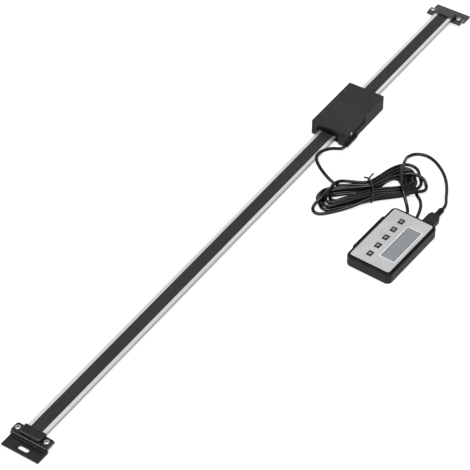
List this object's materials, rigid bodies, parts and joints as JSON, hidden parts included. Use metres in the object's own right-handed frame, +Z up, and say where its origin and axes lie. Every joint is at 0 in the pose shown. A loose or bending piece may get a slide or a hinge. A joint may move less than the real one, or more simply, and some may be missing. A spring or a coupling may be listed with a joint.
{
  "type": "digital linear scale",
  "caption": "Long aluminium measuring beam clamped on slotted end brackets, with a sliding black reader and a remote keypad display on a tied cable.",
  "frame": {"origin": "on the mounting plane under both feet, midway between the two bracket slots", "axes": "+X along the beam towards the end where the reader stands, +Y across the beam away from the display, +Z up from the mounting plane"},
  "size_m": [1, 0.2398, 0.024],
  "materials": {
    "beam_aluminium": "satin, mill-drawn along the beam",
    "tape_rubber": "magnetic rubber tape",
    "strip_dark": "dark charcoal cover strip",
    "bracket_paint": "black powder coat, fine texture",
    "screw_steel": "bright zinc",
    "reader_plastic": "satin black moulding",
    "base_alloy": "die-cast, as cast",
    "slide_plastic": "natural acetal",
    "wiper_rubber": "soft black rubber",
    "board_laminate": "green glass-fibre laminate",
    "chip_plastic": "moulded chip package",
    "spring_steel": "bright spring steel",
    "cable_sheath": "satin black sheath",
    "tie_plastic": "coated tie wire",
    "display_plastic": "black moulding, fine texture",
    "fascia_film": "light grey brushed film",
    "window_clear": "clear window",
    "lcd_grey": "blue-grey display glass",
    "zebra_rubber": "layered rubber connector",
    "key_rubber": "dark grey rubber",
    "cell_label": "plain cell sleeve",
    "contact_plate": "nickel-plated contact"
  },
  "bodies": {
    "scale": {"beam": "beam_aluminium", "scale_tape": "tape_rubber", "cover_strip": "strip_dark", "near_bracket": "bracket_paint", "near_clamp": "bracket_paint", "near_clamp_screws": "screw_steel", "near_clamp_nuts": "screw_steel", "far_bracket": "bracket_paint", "far_clamp": "bracket_paint", "far_clamp_screws": "screw_steel", "far_clamp_nuts": "screw_steel"},
    "reader": {"reader_housing": "reader_plastic", "cable_clamp": "reader_plastic", "cable_clamp_screw": "screw_steel", "cable_gland": "cable_sheath", "reader_base": "base_alloy", "housing_screws": "screw_steel", "left_guide": "slide_plastic", "right_guide": "slide_plastic", "lower_glides": "slide_plastic", "near_wiper": "wiper_rubber", "far_wiper": "wiper_rubber", "sensor_board": "board_laminate", "sensor_chip": "chip_plastic", "sensor_carrier": "reader_plastic", "leaf_spring": "spring_steel", "cable_run_reader": "cable_sheath", "cable_run_display": "cable_sheath", "cable_hank": "cable_sheath", "hank_tie": "tie_plastic", "plug_grip": "cable_sheath", "plug_boot": "cable_sheath", "plug_shell": "contact_plate", "socket": "contact_plate", "display_front_case": "display_plastic", "display_back_case": "display_plastic", "fascia_plate": "fascia_film", "lcd_window": "window_clear", "lcd_glass": "lcd_grey", "zebra_strips": "zebra_rubber", "display_board": "board_laminate", "switch_domes": "spring_steel", "case_screws": "screw_steel", "batteries": "cell_label", "battery_contacts": "contact_plate"},
    "key_1": {"key_1": "key_rubber"},
    "key_2": {"key_2": "key_rubber"},
    "key_3": {"key_3": "key_rubber"},
    "key_4": {"key_4": "key_rubber"},
    "key_5": {"key_5": "key_rubber"},
    "battery_door": {"battery_cover": "display_plastic"}
  },
  "joints": [
    {"name": "reader_slide", "type": "slide", "parent": "scale", "child": "reader", "axis": [1, 0, 0], "range_m": [-0.6246, 0.2121]},
    {"name": "key_1_press", "type": "slide", "parent": "reader", "child": "key_1", "axis": [0, 0, -1], "range_m": [0, 0.00055], "stiffness_N_per_m": 800, "springref_m": -0.0004},
    {"name": "key_2_press", "type": "slide", "parent": "reader", "child": "key_2", "axis": [0, 0, -1], "range_m": [0, 0.00055], "stiffness_N_per_m": 800, "springref_m": -0.0004},
    {"name": "key_3_press", "type": "slide", "parent": "reader", "child": "key_3", "axis": [0, 0, -1], "range_m": [0, 0.00055], "stiffness_N_per_m": 800, "springref_m": -0.0004},
    {"name": "key_4_press", "type": "slide", "parent": "reader", "child": "key_4", "axis": [0, 0, -1], "range_m": [0, 0.00055], "stiffness_N_per_m": 800, "springref_m": -0.0004},
    {"name": "key_5_press", "type": "slide", "parent": "reader", "child": "key_5", "axis": [0, 0, -1], "range_m": [0, 0.00055], "stiffness_N_per_m": 800, "springref_m": -0.0004},
    {"name": "battery_door_slide", "type": "slide", "parent": "reader", "child": "battery_door", "axis": [0.0419, 0.9991, 0], "range_m": [0, 0.034]}
  ]
}
